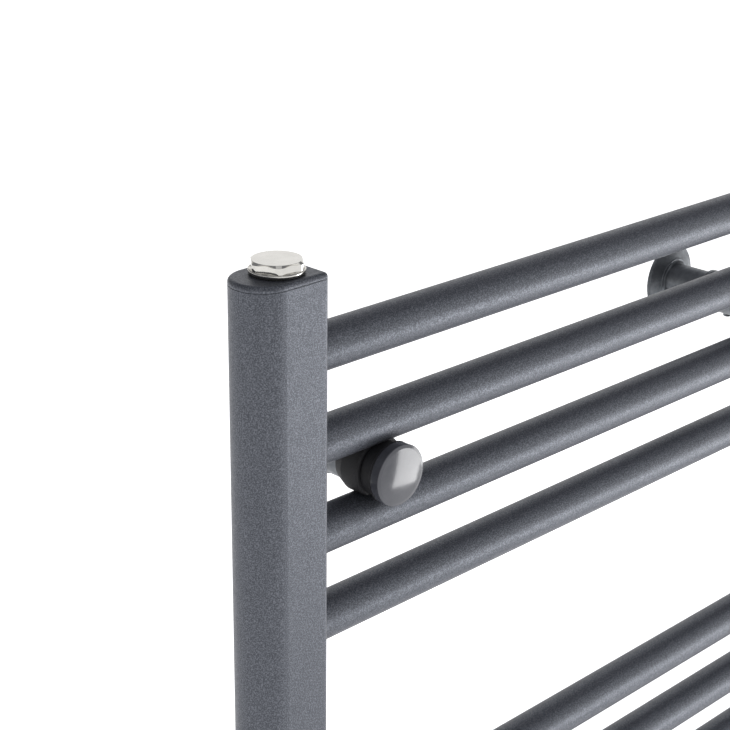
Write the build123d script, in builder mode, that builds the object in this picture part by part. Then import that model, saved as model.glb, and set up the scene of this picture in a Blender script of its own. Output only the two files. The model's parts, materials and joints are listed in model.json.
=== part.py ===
from build123d import *
import os
from math import cos, radians, tan

# Straight ladder towel radiator, hung on a wall by four telescopic clamps, with a
# manual valve below its left collector and a lockshield valve below the right one.
# Millimetres. The origin is on the wall, midway between the four wall fixings:
# +X is right as seen from the room, +Y goes into the wall and +Z is up.

# Overall layout
overall_width = 500.0       # over both collectors
pipe_to_wall = 75.0         # from the plane of the rung axes to the wall
rung_pitch = 45.0           # from one rung place to the next
end_drop = 40.0             # from a collector's end to the nearest rung axis
rung_groups = (4, 4, 5)     # rungs in each group, from the top down
empty_places = 2            # rung places left out between groups, for towels

# Collectors: a D-section tube, flat towards the rungs and round outside
profile_width = 40.0        # flat inner face to the crown of the nose
profile_depth = 30.0        # front to back, which is also the nose's diameter
profile_wall = 1.5
profile_corner = 2.6        # outer radius of the two inner corners
end_plate = 3.0             # thickness of the plate welded on each end
end_rounding = 2.0          # rounding of that plate's outer edge

# Rungs: round tube, let into the collectors and welded
rung_diameter = 22.0
rung_wall = 1.2
rung_overrun = 2.0          # how far a rung runs into the collector's hollow
weld_gap = 0.05             # all round a rung in its hole

# Threaded ports in the end plates
port_inset = 17.0           # inner face of a collector to its port axis
port_radius = 10.5          # G1/2, drawn as a plain bore
port_boss_radius = 13.0
port_boss_depth = 12.0
port_boss_gap = 0.2         # least gap between a boss and the collector's wall
thread_gap = 0.05           # between a drawn thread and its bore

# Fittings in the two upper ports
fitting_flats = 22.0        # across the flats of the hexagon
fitting_hexagon = 4.0       # height of the hexagon
fitting_crown = 11.0        # radius of the flat left on top of the hexagon
fitting_turn = 53.0         # direction of one corner, from +X
fitting_flange_radius = 12.5
fitting_flange = 1.4
fitting_shank = 10.0
seal_height = 1.0
seal_radius = 12.2
seal_rounding = 0.3

# Air vent
bleed_radius = 3.0
bleed_length = 11.0
bleed_square = 5.0          # the square that a radiator key turns
bleed_square_height = 3.3
bleed_slot = 1.0            # width and depth of the slot in the square
vent_recess_radius = 4.4
vent_recess = 2.5
vent_weep_radius = 0.9
running_gap = 0.06          # between a turning or sliding pin and its bore
vent_needle = 1.5           # length of the cone at the bleed screw's end

# Clamps on the rungs: one pair of jaws between two rungs
bracket_inset = 43.0        # inner face of a collector to a clamp's axis
bracket_place = 1.5         # rung places from an end rung to the clamp
saddle_gap = 0.1            # between a jaw's saddle and the rung in it
cap_radius = 15.1
cap_height = 5.8
cap_skin = 1.5
cap_rounding = 1.2
cap_seam = 0.2              # groove between the cap and the front jaw
cap_snap_gap = 0.05         # between the cap's skirt and the jaw's spigot
jaw_plate = 1.6             # thickness of the front jaw's rim
jaw_bevel = 0.7
front_core_radius = 13.4
front_core_depth = 6.4
front_spigot = 2.4
jaw_split = 0.6             # gap left between the two jaws when they grip
rear_jaw_radius = 15.0
rear_jaw_overhang = 2.0     # back of the rear jaw, behind the rungs' backs
rear_taper = 2.4            # how much narrower the rear jaw is at its back
rear_taper_length = 6.0
bolt_radius = 2.5
bolt_head_radius = 4.25
bolt_head = 3.0
bolt_key = 2.0              # half the width across the bolt's hexagon socket
bolt_key_depth = 1.8
bolt_tip = 1.9              # the bolt's end, short of the rear jaw's back
bolt_gap = 0.2              # between the bolt and the front jaw's hole
head_gap = 0.4              # all round the bolt's head in its counterbore

# Telescopic wall mounts
sleeve_radius = 12.0
sleeve_wall = 1.5
sleeve_length = 32.0
sleeve_spigot = 5.0         # the rear jaw's spigot in the sleeve
mount_play = 6.0            # from that spigot to the front end of the wall tube
slide_gap = 0.35            # between the wall tube and the sleeve round it
wall_tube_wall = 2.0
rose_radius = 22.0
rose_thickness = 5.0
rose_rounding = 2.0
wall_hole_radius = 3.25     # for a 6 mm wall screw
grub_radius = 2.5
grub_length = 3.2
grub_place = 30.0           # from the plane of the rung axes to the grub screw
grub_key = 1.25
grub_key_depth = 1.6

# Valves, alike on both sides: the tail goes up into the collector, the inlet
# faces the wall and the spindle faces the room
valve_drop = 45.0           # end of the collector to the spindle's axis
tail_flange_radius = 12.5
tail_flange = 3.0
tail_shank = 12.0
tail_radius = 8.0
tail_bore = 6.0
tail_collar_radius = 12.4
tail_collar = 3.0
neck_top = 25.0             # spindle's axis to the top of the valve's neck
neck_radius = 13.1
neck_bore = 6.5
joint_gap = 0.1             # gasket line between the neck and the tail
union_flats = 30.0
union_lip = 2.5
union_gap = 0.4             # between the nut's lip and the tail
union_clear = 3.5           # room for the tail's collar below the lip
union_grip = 6.0            # thread of the union nut on the valve's neck
union_bevel = 1.0
valve_ball = 14.5           # radius of the body where its three ways meet
head_boss_radius = 12.5
head_boss_reach = 16.0
chamber_radius = 9.5
seat_place = 6.0            # the seat's face, towards the wall from the axis
seat_bore = 6.0
pipe_radius = 7.5           # 15 mm copper pipe
pipe_gap = 0.05
pipe_stop = 14.0            # spindle side end of the pipe socket
inlet_boss_radius = 11.0
inlet_thread_radius = 9.9
inlet_reach = 24.0
nut_flats = 24.0
nut_back = 15.0             # nut's inner end, from the port's axis
nut_front = 31.0
nut_lip = 3.0               # plain bore at the nut's mouth
nut_bevel = 1.0
olive_wall = 1.7
olive_tail = 0.05           # thickness left at the olive's thin end
olive_end_gap = 0.1

# Valve headwork
bonnet_flats = 24.0
bonnet_hexagon = 5.0
bonnet_shank = 10.0
bonnet_neck_radius = 7.5
bonnet_neck = 6.0
bonnet_bevel = 1.0
guide_radius = 5.0          # the bonnet's bore round the jumper's stem
collar_radius = 4.6         # thrust collar of the spindle
collar_thickness = 2.0
collar_gap = 0.4
spindle_radius = 3.0
spindle_thread_radius = 2.0
jumper_radius = 7.6
jumper_thickness = 3.0
jumper_stem_radius = 4.4
jumper_stem = 10.7
jumper_socket = 9.0
jumper_lift = 4.0           # full travel from the seat
stop_gap = 0.5              # between parts at the end of the jumper's travel
seat_gap = 0.3              # left between the closed jumper and the seat

# Handwheel of the manual valve
wheel_radius = 20.0
wheel_length = 34.0
wheel_clear = 1.0           # from the bonnet's hexagon to the wheel
wheel_recess_radius = 9.0
wheel_recess = 7.0
wheel_flutes = 12
wheel_flute_radius = 3.2
wheel_flute_bite = 1.2      # how deep a flute cuts into the wheel
wheel_land = 7.0            # plain band left at the wheel's outer end
wheel_rounding = 2.5
wheel_dish_radius = 6.0
wheel_dish = 5.0            # depth of the dish round the retaining screw
wheel_screw_radius = 4.0
wheel_screw_head = 2.4
wheel_screw_shank = 1.6
wheel_screw_length = 6.0
wheel_screw_slot = 1.0

# Cap and spindle of the lockshield valve
shield_gap = 0.35           # between the bonnet's corners and the cap
shield_wall = 1.8
shield_length = 28.0
shield_lap = 4.5            # how much of the bonnet's hexagon the cap covers
shield_rounding = 2.0
lock_square = 4.2
lock_square_length = 5.0
lock_round = 4.0            # round spindle beyond the bonnet

# Worked out from the sizes above
rung_radius = rung_diameter / 2
profile_radius = profile_depth / 2
hollow_corner = max(profile_corner - profile_wall, 0.2)
places = []
place = 0
for group in rung_groups:
    for _ in range(group):
        places.append(place)
        place += 1
    place += empty_places
last_place = places[-1]
overall_height = 2 * end_drop + last_place * rung_pitch
half_height = overall_height / 2
top_rung = half_height - end_drop
inner_face = overall_width / 2 - profile_width
port_x = inner_face + port_inset
bracket_x = inner_face - bracket_inset
bracket_z = top_rung - bracket_place * rung_pitch
rung_plane = -pipe_to_wall
valve_z = -half_height - valve_drop
UP = (0, 0, 1)
DOWN = (0, 0, -1)
TO_WALL = (0, 1, 0)
TO_ROOM = (0, -1, 0)

os.makedirs("parts", exist_ok=True)


def save(piece, node):
    piece.part.label = node
    export_step(piece.part, "parts/" + node + ".step")


def turned(start, along, outline):
    # A turned solid: the outline's points are (distance along the axis, radius)
    with BuildPart() as piece:
        with BuildSketch(Plane(origin=start, x_dir=along, z_dir=(1, 0, 0))):
            with BuildLine():
                Polyline(*outline, close=True)
            make_face()
        revolve(axis=Axis(start, along))
    return piece.part


def rod(start, along, near, far, radius):
    return turned(start, along, [(near, 0), (near, radius), (far, radius), (far, 0)])


def hexagon(start, along, near, far, flats, crown, turn=0.0):
    # A hexagonal prism whose corners are turned off at its far end at 30 degrees
    corner = flats / 2 / cos(radians(30))
    slope = (corner - crown) * tan(radians(30))
    outline = [(near, 0), (near, corner), (far - slope, corner), (far, crown), (far, 0)]
    with BuildPart() as piece:
        with BuildSketch(Plane(origin=start, x_dir=(1, 0, 0), z_dir=along).offset(near)):
            RegularPolygon(radius=corner, side_count=6, rotation=turn)
        extrude(amount=far - near)
        add(turned(start, along, outline), mode=Mode.INTERSECT)
    return piece.part


def collector_outline(side, shrink, corner):
    # The D profile: side is -1 on the left, and shrink draws the hollow inside it
    near = side * (inner_face + shrink)
    nose = side * (inner_face + profile_width - profile_radius)
    half = profile_radius - shrink
    with BuildSketch() as outline:
        with BuildLine():
            Polyline((nose, rung_plane - half), (near, rung_plane - half),
                     (near, rung_plane + half), (nose, rung_plane + half))
            RadiusArc((nose, rung_plane + half), (nose, rung_plane - half), side * half)
        make_face()
        fillet(outline.vertices().group_by(Axis.X)[0 if side > 0 else -1], corner)
    return outline.sketch


def make_collector(side):
    tube_height = overall_height - 2 * end_plate
    outside = collector_outline(side, 0, profile_corner)
    inside = collector_outline(side, profile_wall, hollow_corner)
    wall_plane = Plane(origin=(side * inner_face, 0, 0), x_dir=TO_WALL, z_dir=(side, 0, 0))
    with BuildPart() as collector:
        with BuildSketch(Plane.XY.offset(-tube_height / 2)):
            add(outside)
            add(inside, mode=Mode.SUBTRACT)
        extrude(amount=tube_height)
        with BuildSketch(wall_plane.offset(-1)):
            for number in places:
                height = top_rung - number * rung_pitch
                with Locations((rung_plane, side * height)):
                    Circle(rung_radius + weld_gap)
        extrude(amount=profile_wall + 2, mode=Mode.SUBTRACT)
    return collector


def make_rung(height):
    reach = inner_face + profile_wall + rung_overrun
    with BuildPart() as rung:
        with BuildSketch(Plane.YZ.offset(-reach)):
            with Locations((rung_plane, height)):
                Circle(rung_radius)
                Circle(rung_radius - rung_wall, mode=Mode.SUBTRACT)
        extrude(amount=2 * reach)
    return rung


def make_end_plate(side, end):
    # end is 1 at the top and -1 at the bottom
    inside = half_height - end_plate
    start = (side * port_x, rung_plane, 0)
    outside = collector_outline(side, 0, profile_corner)
    room = collector_outline(side, profile_wall + port_boss_gap, hollow_corner)
    with BuildPart() as plate:
        with BuildSketch(Plane.XY.offset(end * inside)):
            add(outside)
        extrude(amount=end * end_plate)
        rim = plate.edges().group_by(Axis.Z)[-1 if end > 0 else 0]
        fillet(rim, end_rounding)
        with BuildSketch(Plane.XY.offset(end * (inside - port_boss_depth))):
            add(room)
            with Locations((side * port_x, rung_plane)):
                Circle(port_boss_radius, mode=Mode.INTERSECT)
        extrude(amount=end * port_boss_depth)
        add(rod(start, UP, end * (inside - port_boss_depth), end * half_height, port_radius),
            mode=Mode.SUBTRACT)
    return plate


for side, hand in ((-1, "left"), (1, "right")):
    save(make_collector(side), "collector_" + hand)
    for end, level in ((1, "top"), (-1, "bottom")):
        save(make_end_plate(side, end), "end_plate_" + level + "_" + hand)

for count, number in enumerate(places, start=1):
    save(make_rung(top_rung - number * rung_pitch), f"rung_{count:02d}")


# Fittings in the upper ports: a blanking plug on the left and an air vent on the right
flange_bottom = half_height + seal_height
hexagon_bottom = flange_bottom + fitting_flange
fitting_top = hexagon_bottom + fitting_hexagon
thread_bottom = half_height - fitting_shank


def make_fitting(side):
    start = (side * port_x, rung_plane, 0)
    edge = fitting_flange / 4
    with BuildPart() as fitting:
        add(turned(start, UP, [
            (thread_bottom, 0), (thread_bottom, port_radius - thread_gap - 1),
            (thread_bottom + 1, port_radius - thread_gap),
            (flange_bottom, port_radius - thread_gap),
            (flange_bottom, fitting_flange_radius - edge),
            (flange_bottom + edge, fitting_flange_radius),
            (hexagon_bottom - edge, fitting_flange_radius),
            (hexagon_bottom, fitting_flange_radius - edge), (hexagon_bottom, 0)]))
        add(hexagon(start, UP, hexagon_bottom, fitting_top, fitting_flats, fitting_crown,
                    fitting_turn))
    return fitting


save(make_fitting(-1), "blanking_plug")

vent_start = (port_x, rung_plane, 0)
recess_floor = fitting_top - vent_recess
bleed_bottom = recess_floor - bleed_length
with BuildPart() as vent_body:
    add(make_fitting(1).part)
    add(rod(vent_start, UP, recess_floor, fitting_top, vent_recess_radius), mode=Mode.SUBTRACT)
    add(rod(vent_start, UP, thread_bottom, recess_floor, bleed_radius + running_gap),
        mode=Mode.SUBTRACT)
    weep_height = hexagon_bottom + vent_weep_radius
    with BuildSketch(Plane(origin=(port_x, rung_plane, weep_height), z_dir=TO_ROOM)):
        Circle(vent_weep_radius)
    extrude(amount=fitting_flats, mode=Mode.SUBTRACT)
save(vent_body, "vent_body")

with BuildPart() as bleed_screw:
    add(turned(vent_start, UP, [
        (bleed_bottom, 0), (bleed_bottom, bleed_radius / 3),
        (bleed_bottom + vent_needle, bleed_radius), (recess_floor, bleed_radius),
        (recess_floor, 0)]))
    with BuildSketch(Plane(origin=(port_x, rung_plane, recess_floor))):
        Rectangle(bleed_square, bleed_square)
    extrude(amount=bleed_square_height)
    with BuildSketch(Plane(origin=(port_x, rung_plane, recess_floor + bleed_square_height))):
        Rectangle(2 * bleed_square, bleed_slot)
    extrude(amount=-bleed_slot, mode=Mode.SUBTRACT)
save(bleed_screw, "bleed_screw")

with BuildPart() as port_seals:
    for side in (-1, 1):
        bore = port_radius - thread_gap / 2
        add(turned((side * port_x, rung_plane, 0), UP, [
            (half_height, bore), (half_height, seal_radius - seal_rounding),
            (half_height + seal_rounding, seal_radius),
            (flange_bottom - seal_rounding, seal_radius),
            (flange_bottom, seal_radius - seal_rounding), (flange_bottom, bore)]))
save(port_seals, "port_seals")


# Clamps and wall mounts. Distances run from the plane of the rung axes to the wall
plate_back = -rung_radius
plate_front = plate_back - jaw_plate
cap_back = plate_front - cap_seam
cap_front = cap_back - cap_height
core_back = plate_back + front_core_depth
rear_front = core_back + jaw_split
rear_back = rung_radius + rear_jaw_overhang
spigot_tip = rear_back + sleeve_spigot
wall_tube_front = spigot_tip + mount_play
sleeve_bore = sleeve_radius - sleeve_wall
sleeve_back = rear_back + sleeve_length
spigot_radius = cap_radius - cap_skin - cap_snap_gap
head_seat = plate_front
head_front = head_seat - bolt_head


def saddle_rods(x, z):
    # What the rungs above and below a clamp take out of its jaws
    with BuildPart() as rods:
        with BuildSketch(Plane.YZ.offset(x - 2 * rear_jaw_radius)):
            with Locations((rung_plane, z - rung_pitch / 2), (rung_plane, z + rung_pitch / 2)):
                Circle(rung_radius + saddle_gap)
        extrude(amount=4 * rear_jaw_radius)
    return rods.part


def make_clamp_cap(x, z):
    start = (x, rung_plane, z)
    with BuildPart() as cap:
        add(rod(start, TO_WALL, cap_front, cap_back, cap_radius))
        fillet(cap.edges().sort_by(Axis.Y)[0], cap_rounding)
        add(rod(start, TO_WALL, cap_front + cap_skin, cap_back, cap_radius - cap_skin),
            mode=Mode.SUBTRACT)
    return cap


def make_front_jaw(x, z):
    start = (x, rung_plane, z)
    spigot_front = plate_front - front_spigot
    with BuildPart() as jaw:
        add(turned(start, TO_WALL, [
            (spigot_front, 0), (spigot_front, spigot_radius), (plate_front, spigot_radius),
            (plate_front, cap_radius), (plate_back - jaw_bevel, cap_radius),
            (plate_back, cap_radius - jaw_bevel), (plate_back, front_core_radius),
            (core_back, front_core_radius), (core_back, 0)]))
        add(saddle_rods(x, z), mode=Mode.SUBTRACT)
        add(rod(start, TO_WALL, spigot_front, core_back, bolt_radius + bolt_gap),
            mode=Mode.SUBTRACT)
        add(rod(start, TO_WALL, spigot_front, head_seat, bolt_head_radius + head_gap),
            mode=Mode.SUBTRACT)
    return jaw


def make_rear_jaw(x, z):
    start = (x, rung_plane, z)
    with BuildPart() as jaw:
        add(turned(start, TO_WALL, [
            (rear_front, 0), (rear_front, rear_jaw_radius - jaw_bevel),
            (rear_front + jaw_bevel, rear_jaw_radius),
            (rear_back - rear_taper_length, rear_jaw_radius),
            (rear_back, rear_jaw_radius - rear_taper), (rear_back, sleeve_bore - thread_gap),
            (spigot_tip, sleeve_bore - thread_gap), (spigot_tip, 0)]))
        add(saddle_rods(x, z), mode=Mode.SUBTRACT)
        add(rod(start, TO_WALL, rear_front, spigot_tip, bolt_radius), mode=Mode.SUBTRACT)
    return jaw


def make_wall_mount(x, z):
    start = (x, rung_plane, z)
    tube = sleeve_bore - slide_gap
    wall = pipe_to_wall
    with BuildPart() as mount:
        add(rod(start, TO_WALL, wall - rose_thickness, wall, rose_radius))
        fillet(mount.edges().sort_by(Axis.Y)[0], rose_rounding)
        add(rod(start, TO_WALL, wall_tube_front, wall - rose_thickness, tube))
        add(rod(start, TO_WALL, wall_tube_front, wall - rose_thickness, tube - wall_tube_wall),
            mode=Mode.SUBTRACT)
        add(rod(start, TO_WALL, wall - rose_thickness, wall, wall_hole_radius),
            mode=Mode.SUBTRACT)
    return mount


bracket_spots = []
for end, level in ((1, "top"), (-1, "bottom")):
    for side, hand in ((-1, "left"), (1, "right")):
        bracket_spots.append((side * bracket_x, end * bracket_z, level + "_" + hand))

for x, z, spot in bracket_spots:
    save(make_clamp_cap(x, z), "clamp_cap_" + spot)
    save(make_front_jaw(x, z), "front_jaw_" + spot)
    save(make_rear_jaw(x, z), "rear_jaw_" + spot)
    save(make_wall_mount(x, z), "wall_mount_" + spot)

with BuildPart() as clamp_sleeves:
    for x, z, spot in bracket_spots:
        start = (x, rung_plane, z)
        add(turned(start, TO_WALL, [
            (rear_back, sleeve_bore), (rear_back, sleeve_radius), (sleeve_back, sleeve_radius),
            (sleeve_back, sleeve_bore)]))
        add(rod((x, rung_plane + grub_place, z), DOWN, 0, 2 * sleeve_radius, grub_radius + thread_gap),
            mode=Mode.SUBTRACT)
save(clamp_sleeves, "clamp_sleeves")

with BuildPart() as clamp_bolts:
    for x, z, spot in bracket_spots:
        start = (x, rung_plane, z)
        add(rod(start, TO_WALL, head_front, head_seat, bolt_head_radius))
        add(rod(start, TO_WALL, head_seat, rear_back - bolt_tip, bolt_radius - thread_gap))
        add(hexagon(start, TO_WALL, head_front, head_front + bolt_key_depth, 2 * bolt_key,
                    bolt_key), mode=Mode.SUBTRACT)
save(clamp_bolts, "clamp_bolts")

with BuildPart() as grub_screws:
    for x, z, spot in bracket_spots:
        start = (x, rung_plane + grub_place, z)
        outer = sleeve_bore + grub_length
        add(rod(start, DOWN, sleeve_bore, outer, grub_radius))
        add(rod(start, DOWN, outer - grub_key_depth, outer, grub_key), mode=Mode.SUBTRACT)
save(grub_screws, "grub_screws")


# Valves. On the spindle's axis, distances run from the port's axis to the room
tail_low = valve_z + neck_top + joint_gap
nut_mouth_bore = pipe_radius + pipe_gap
jumper_face = -seat_place + seat_gap
jumper_back = jumper_face + jumper_thickness
stem_top = jumper_back + jumper_stem
socket_floor = stem_top - jumper_socket
thread_tip = socket_floor + jumper_lift + stop_gap
collar_near = stem_top + jumper_lift + stop_gap
collar_far = collar_near + collar_thickness
bonnet_near = head_boss_reach - bonnet_shank
bonnet_hex_top = head_boss_reach + bonnet_hexagon
bonnet_top = bonnet_hex_top + bonnet_neck


def make_tail(x):
    # Runs up from its collar: a plain tube, a flange and the thread in the port
    start = (x, rung_plane, 0)
    low = -half_height
    with BuildPart() as tail:
        add(turned(start, UP, [
            (tail_low, tail_bore), (tail_low, tail_collar_radius),
            (tail_low + tail_collar, tail_collar_radius), (tail_low + tail_collar, tail_radius),
            (low - tail_flange, tail_radius), (low - tail_flange, tail_flange_radius),
            (low, tail_flange_radius), (low, port_radius - thread_gap),
            (low + tail_shank, port_radius - thread_gap), (low + tail_shank, tail_bore)]))
    return tail


def make_union_nut(x):
    start = (x, rung_plane, 0)
    near = tail_low - union_grip
    lip = tail_low + union_clear
    far = lip + union_lip
    crown = union_flats / 2 - union_bevel / 2
    with BuildPart() as nut:
        add(hexagon(start, UP, near, far, union_flats, crown))
        add(rod(start, UP, near, lip, neck_radius + thread_gap), mode=Mode.SUBTRACT)
        add(rod(start, UP, lip, far, tail_radius + union_gap), mode=Mode.SUBTRACT)
    return nut


def make_valve_body(x):
    centre = (x, rung_plane, valve_z)
    with BuildPart() as body:
        with Locations(centre):
            Sphere(valve_ball)
        add(rod(centre, TO_ROOM, 0, head_boss_reach, head_boss_radius))
        add(rod(centre, TO_WALL, 0, pipe_stop, inlet_boss_radius))
        add(rod(centre, TO_WALL, pipe_stop, inlet_reach, inlet_thread_radius))
        add(rod(centre, UP, 0, neck_top, neck_radius))
        add(rod(centre, UP, 0, neck_top, neck_bore), mode=Mode.SUBTRACT)
        add(rod(centre, TO_ROOM, -seat_place, head_boss_reach, chamber_radius),
            mode=Mode.SUBTRACT)
        add(rod(centre, TO_WALL, seat_place, pipe_stop, seat_bore), mode=Mode.SUBTRACT)
        add(rod(centre, TO_WALL, pipe_stop, inlet_reach, pipe_radius + pipe_gap),
            mode=Mode.SUBTRACT)
    return body


def make_inlet_nut(x):
    centre = (x, rung_plane, valve_z)
    thread_end = inlet_reach + 1
    crown = nut_flats / 2 - nut_bevel / 2
    with BuildPart() as nut:
        add(hexagon(centre, TO_WALL, nut_back, nut_front, nut_flats, crown))
        add(turned(centre, TO_WALL, [
            (nut_back, 0), (nut_back, inlet_thread_radius + thread_gap),
            (thread_end, inlet_thread_radius + thread_gap),
            (nut_front - nut_lip, nut_mouth_bore), (nut_front, nut_mouth_bore),
            (nut_front, 0)]), mode=Mode.SUBTRACT)
    return nut


def make_bonnet(x):
    centre = (x, rung_plane, valve_z)
    crown = bonnet_flats / 2 - bonnet_bevel / 2
    with BuildPart() as bonnet:
        add(rod(centre, TO_ROOM, bonnet_near, head_boss_reach, chamber_radius - thread_gap))
        add(hexagon(centre, TO_ROOM, head_boss_reach, bonnet_hex_top, bonnet_flats, crown))
        add(rod(centre, TO_ROOM, bonnet_hex_top, bonnet_top, bonnet_neck_radius))
        add(rod(centre, TO_ROOM, bonnet_near, collar_far + collar_gap, guide_radius),
            mode=Mode.SUBTRACT)
        add(rod(centre, TO_ROOM, collar_far, bonnet_top, spindle_radius + running_gap),
            mode=Mode.SUBTRACT)
    return bonnet


def make_jumper(x):
    centre = (x, rung_plane, valve_z)
    with BuildPart() as jumper:
        add(rod(centre, TO_ROOM, jumper_face, jumper_back, jumper_radius))
        add(rod(centre, TO_ROOM, jumper_back, stem_top, jumper_stem_radius))
        add(rod(centre, TO_ROOM, socket_floor, stem_top, spindle_thread_radius + running_gap),
            mode=Mode.SUBTRACT)
    return jumper


def spindle_shape(x, far):
    # Thread in the jumper, thrust collar and round shaft as far as it is wanted
    return turned((x, rung_plane, valve_z), TO_ROOM, [
        (thread_tip, 0), (thread_tip, spindle_thread_radius),
        (collar_near, spindle_thread_radius), (collar_near, collar_radius),
        (collar_far, collar_radius), (collar_far, spindle_radius),
        (far, spindle_radius), (far, 0)])


for x, use in ((-port_x, "supply"), (port_x, "return")):
    save(make_tail(x), use + "_tailpiece")
    save(make_union_nut(x), use + "_union_nut")
    save(make_valve_body(x), use + "_valve_body")
    save(make_inlet_nut(x), use + "_inlet_nut")
    save(make_bonnet(x), use + "_bonnet")
    save(make_jumper(x), use + "_jumper")

with BuildPart() as olives:
    for x in (-port_x, port_x):
        near = inlet_reach + olive_end_gap
        far = nut_front - nut_lip - olive_end_gap
        waist = olive_wall / 3
        add(turned((x, rung_plane, valve_z), TO_WALL, [
            (near, nut_mouth_bore), (near, nut_mouth_bore + waist),
            (near + waist, nut_mouth_bore + olive_wall),
            (far - 3 * waist, nut_mouth_bore + waist), (far, nut_mouth_bore + olive_tail),
            (far, nut_mouth_bore)]))
save(olives, "olives")

# Handwheel side: the spindle ends inside the wheel, which its screw holds on
wheel_near = bonnet_hex_top + wheel_clear
wheel_far = wheel_near + wheel_length
dish_floor = wheel_far - wheel_dish
supply_centre = (-port_x, rung_plane, valve_z)

with BuildPart() as supply_spindle:
    add(spindle_shape(-port_x, dish_floor))
    add(rod(supply_centre, TO_ROOM, dish_floor - wheel_screw_length, dish_floor,
            wheel_screw_shank), mode=Mode.SUBTRACT)
save(supply_spindle, "supply_spindle")

with BuildPart() as handwheel:
    add(rod(supply_centre, TO_ROOM, wheel_near, wheel_far, wheel_radius))
    flute_ring = wheel_radius + wheel_flute_radius - wheel_flute_bite
    with BuildSketch(Plane(origin=supply_centre, x_dir=(1, 0, 0), z_dir=TO_ROOM).offset(wheel_near)):
        with PolarLocations(flute_ring, wheel_flutes):
            Circle(wheel_flute_radius)
    extrude(amount=wheel_length - wheel_land, mode=Mode.SUBTRACT)
    fillet(handwheel.edges().filter_by(GeomType.CIRCLE).sort_by(Axis.Y)[0], wheel_rounding)
    add(rod(supply_centre, TO_ROOM, wheel_near, wheel_near + wheel_recess, wheel_recess_radius),
        mode=Mode.SUBTRACT)
    add(rod(supply_centre, TO_ROOM, dish_floor, wheel_far, wheel_dish_radius),
        mode=Mode.SUBTRACT)
    add(rod(supply_centre, TO_ROOM, wheel_near, dish_floor, spindle_radius + thread_gap),
        mode=Mode.SUBTRACT)
save(handwheel, "handwheel")

with BuildPart() as handwheel_screw:
    head_far = dish_floor + wheel_screw_head
    add(rod(supply_centre, TO_ROOM, dish_floor, head_far, wheel_screw_radius))
    fillet(handwheel_screw.edges().sort_by(Axis.Y)[0], wheel_screw_head / 3)
    with BuildSketch(Plane(origin=supply_centre, x_dir=(1, 0, 0), z_dir=TO_ROOM).offset(head_far)):
        Rectangle(3 * wheel_screw_radius, wheel_screw_slot)
    extrude(amount=-wheel_screw_slot, mode=Mode.SUBTRACT)
    add(rod(supply_centre, TO_ROOM, dish_floor - wheel_screw_length + 1, dish_floor,
            wheel_screw_shank - thread_gap))
save(handwheel_screw, "handwheel_screw")

# Lockshield side: a squared spindle under a push-on cap
return_centre = (port_x, rung_plane, valve_z)
square_near = bonnet_top + lock_round
square_far = square_near + lock_square_length
shield_near = bonnet_hex_top - shield_lap
shield_far = shield_near + shield_length
shield_bore = bonnet_flats / 2 / cos(radians(30)) + shield_gap

with BuildPart() as return_spindle:
    add(spindle_shape(port_x, square_near))
    with BuildSketch(Plane(origin=return_centre, x_dir=(1, 0, 0), z_dir=TO_ROOM).offset(square_near)):
        Rectangle(lock_square, lock_square)
    extrude(amount=lock_square_length)
save(return_spindle, "return_spindle")

with BuildPart() as lockshield_cap:
    add(rod(return_centre, TO_ROOM, shield_near, shield_far, shield_bore + shield_wall))
    fillet(lockshield_cap.edges().sort_by(Axis.Y)[0], shield_rounding)
    add(rod(return_centre, TO_ROOM, shield_near, shield_far - shield_wall, shield_bore),
        mode=Mode.SUBTRACT)
save(lockshield_cap, "lockshield_cap")
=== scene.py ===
import json
import math
import bpy
import bmesh
from mathutils import Matrix, Vector


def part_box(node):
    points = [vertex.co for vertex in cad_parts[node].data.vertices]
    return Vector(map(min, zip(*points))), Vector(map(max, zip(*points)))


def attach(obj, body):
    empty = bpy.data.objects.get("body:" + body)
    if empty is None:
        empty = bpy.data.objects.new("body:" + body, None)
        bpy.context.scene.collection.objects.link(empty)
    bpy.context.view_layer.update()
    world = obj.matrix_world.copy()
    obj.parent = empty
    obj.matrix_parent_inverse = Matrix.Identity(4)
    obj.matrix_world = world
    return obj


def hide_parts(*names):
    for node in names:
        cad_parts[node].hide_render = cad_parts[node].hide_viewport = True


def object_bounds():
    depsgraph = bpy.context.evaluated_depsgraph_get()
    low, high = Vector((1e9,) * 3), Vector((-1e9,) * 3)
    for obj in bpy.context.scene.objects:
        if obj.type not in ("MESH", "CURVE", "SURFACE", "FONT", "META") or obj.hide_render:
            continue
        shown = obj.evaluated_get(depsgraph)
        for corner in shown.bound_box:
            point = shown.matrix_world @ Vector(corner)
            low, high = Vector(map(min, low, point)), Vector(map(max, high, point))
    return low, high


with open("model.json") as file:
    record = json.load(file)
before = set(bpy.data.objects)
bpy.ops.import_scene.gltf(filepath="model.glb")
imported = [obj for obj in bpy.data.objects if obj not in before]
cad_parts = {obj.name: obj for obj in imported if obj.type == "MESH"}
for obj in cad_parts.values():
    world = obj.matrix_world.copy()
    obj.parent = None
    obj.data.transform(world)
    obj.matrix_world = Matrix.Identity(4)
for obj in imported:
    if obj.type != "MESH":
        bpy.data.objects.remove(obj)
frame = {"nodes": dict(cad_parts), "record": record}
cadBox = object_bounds()
scene = bpy.context.scene
scene.view_settings.view_transform = "Standard"
mm = 0.001
print("frame loaded:", len(frame["nodes"]), "nodes")


def hexColor(code):
    # sRGB hex to linear RGBA
    channels = [int(code[i:i + 2], 16) / 255 for i in (1, 3, 5)]
    linear = [c / 12.92 if c <= 0.04045 else ((c + 0.055) / 1.055) ** 2.4 for c in channels]
    return (*linear, 1.0)


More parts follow.
